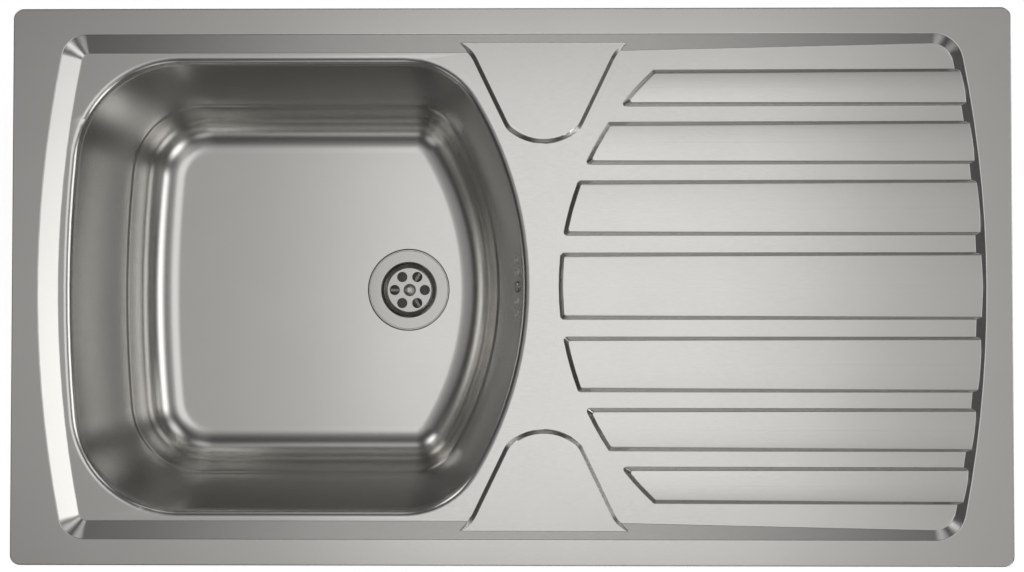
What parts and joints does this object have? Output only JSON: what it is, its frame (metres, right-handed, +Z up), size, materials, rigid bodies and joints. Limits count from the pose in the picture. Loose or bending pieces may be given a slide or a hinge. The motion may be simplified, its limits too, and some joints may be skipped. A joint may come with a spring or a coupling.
{
  "type": "kitchen sink with drainboard",
  "caption": "Inset stainless steel sink with one bowl, a ribbed drainer, tap ledges, overflow, strainer waste and swinging fixing clamps under the rim.",
  "frame": {"origin": "middle of the rim's outline on the worktop plane, under the rim", "axes": "+X along the length towards the drainer end, +Y to the back edge, +Z up out of the worktop"},
  "size_m": [0.78, 0.435, 0.2103],
  "materials": {
    "stainless_steel": "satin pressed stainless steel",
    "polished_steel": "polished stainless steel",
    "zinc_plated_steel": "bright zinc plating",
    "white_plastic": "moulded polypropylene",
    "hose_plastic": "corrugated polypropylene",
    "rubber": "moulded rubber",
    "sealing_foam": "closed-cell foam",
    "damping_pad": "bitumen sheet",
    "brass": "machined brass"
  },
  "bodies": {
    "sink": {"deck": "stainless_steel", "bowl": "stainless_steel", "rim_seal": "sealing_foam", "sound_pad": "damping_pad", "strainer": "polished_steel", "strainer_screw": "polished_steel", "strainer_seal": "rubber", "waste_gasket": "rubber", "waste_body": "white_plastic", "screw_insert": "brass", "overflow_gasket": "rubber", "overflow_housing": "white_plastic", "overflow_screw": "polished_steel", "overflow_hose": "hose_plastic", "hose_seal_top": "rubber", "hose_seal_low": "rubber", "hose_nut_top": "white_plastic", "hose_nut_low": "white_plastic", "clamp_1_bracket": "zinc_plated_steel", "clamp_2_bracket": "zinc_plated_steel", "clamp_3_bracket": "zinc_plated_steel", "clamp_4_bracket": "zinc_plated_steel", "clamp_5_bracket": "zinc_plated_steel", "clamp_6_bracket": "zinc_plated_steel", "clamp_7_bracket": "zinc_plated_steel", "clamp_8_bracket": "zinc_plated_steel"},
    "clamp_1_screw": {"clamp_1_screw": "zinc_plated_steel"},
    "clamp_1_claw": {"clamp_1_claw": "zinc_plated_steel"},
    "clamp_2_screw": {"clamp_2_screw": "zinc_plated_steel"},
    "clamp_2_claw": {"clamp_2_claw": "zinc_plated_steel"},
    "clamp_3_screw": {"clamp_3_screw": "zinc_plated_steel"},
    "clamp_3_claw": {"clamp_3_claw": "zinc_plated_steel"},
    "clamp_4_screw": {"clamp_4_screw": "zinc_plated_steel"},
    "clamp_4_claw": {"clamp_4_claw": "zinc_plated_steel"},
    "clamp_5_screw": {"clamp_5_screw": "zinc_plated_steel"},
    "clamp_5_claw": {"clamp_5_claw": "zinc_plated_steel"},
    "clamp_6_screw": {"clamp_6_screw": "zinc_plated_steel"},
    "clamp_6_claw": {"clamp_6_claw": "zinc_plated_steel"},
    "clamp_7_screw": {"clamp_7_screw": "zinc_plated_steel"},
    "clamp_7_claw": {"clamp_7_claw": "zinc_plated_steel"},
    "clamp_8_screw": {"clamp_8_screw": "zinc_plated_steel"},
    "clamp_8_claw": {"clamp_8_claw": "zinc_plated_steel"}
  },
  "joints": [
    {"name": "clamp_1_swing", "type": "hinge", "parent": "sink", "child": "clamp_1_screw", "pos_m": [-0.27, 0.1915, -0.04], "axis": [0, 0, 1], "range_deg": [0, 90]},
    {"name": "clamp_1_lift", "type": "slide", "parent": "clamp_1_screw", "child": "clamp_1_claw", "axis": [0, 0, 1], "range_m": [0, 0.02]},
    {"name": "clamp_2_swing", "type": "hinge", "parent": "sink", "child": "clamp_2_screw", "pos_m": [0, 0.1915, -0.04], "axis": [0, 0, 1], "range_deg": [0, 90]},
    {"name": "clamp_2_lift", "type": "slide", "parent": "clamp_2_screw", "child": "clamp_2_claw", "axis": [0, 0, 1], "range_m": [0, 0.02]},
    {"name": "clamp_3_swing", "type": "hinge", "parent": "sink", "child": "clamp_3_screw", "pos_m": [0.27, 0.1915, -0.04], "axis": [0, 0, 1], "range_deg": [0, 90]},
    {"name": "clamp_3_lift", "type": "slide", "parent": "clamp_3_screw", "child": "clamp_3_claw", "axis": [0, 0, 1], "range_m": [0, 0.02]},
    {"name": "clamp_4_swing", "type": "hinge", "parent": "sink", "child": "clamp_4_screw", "pos_m": [0.364, 0, -0.04], "axis": [0, 0, 1], "range_deg": [0, 90]},
    {"name": "clamp_4_lift", "type": "slide", "parent": "clamp_4_screw", "child": "clamp_4_claw", "axis": [0, 0, 1], "range_m": [0, 0.02]},
    {"name": "clamp_5_swing", "type": "hinge", "parent": "sink", "child": "clamp_5_screw", "pos_m": [0.27, -0.1915, -0.04], "axis": [0, 0, 1], "range_deg": [0, 90]},
    {"name": "clamp_5_lift", "type": "slide", "parent": "clamp_5_screw", "child": "clamp_5_claw", "axis": [0, 0, 1], "range_m": [0, 0.02]},
    {"name": "clamp_6_swing", "type": "hinge", "parent": "sink", "child": "clamp_6_screw", "pos_m": [0, -0.1915, -0.04], "axis": [0, 0, 1], "range_deg": [0, 90]},
    {"name": "clamp_6_lift", "type": "slide", "parent": "clamp_6_screw", "child": "clamp_6_claw", "axis": [0, 0, 1], "range_m": [0, 0.02]},
    {"name": "clamp_7_swing", "type": "hinge", "parent": "sink", "child": "clamp_7_screw", "pos_m": [-0.27, -0.1915, -0.04], "axis": [0, 0, 1], "range_deg": [0, 90]},
    {"name": "clamp_7_lift", "type": "slide", "parent": "clamp_7_screw", "child": "clamp_7_claw", "axis": [0, 0, 1], "range_m": [0, 0.02]},
    {"name": "clamp_8_swing", "type": "hinge", "parent": "sink", "child": "clamp_8_screw", "pos_m": [-0.364, 0, -0.04], "axis": [0, 0, 1], "range_deg": [0, 90]},
    {"name": "clamp_8_lift", "type": "slide", "parent": "clamp_8_screw", "child": "clamp_8_claw", "axis": [0, 0, 1], "range_m": [0, 0.02]}
  ]
}
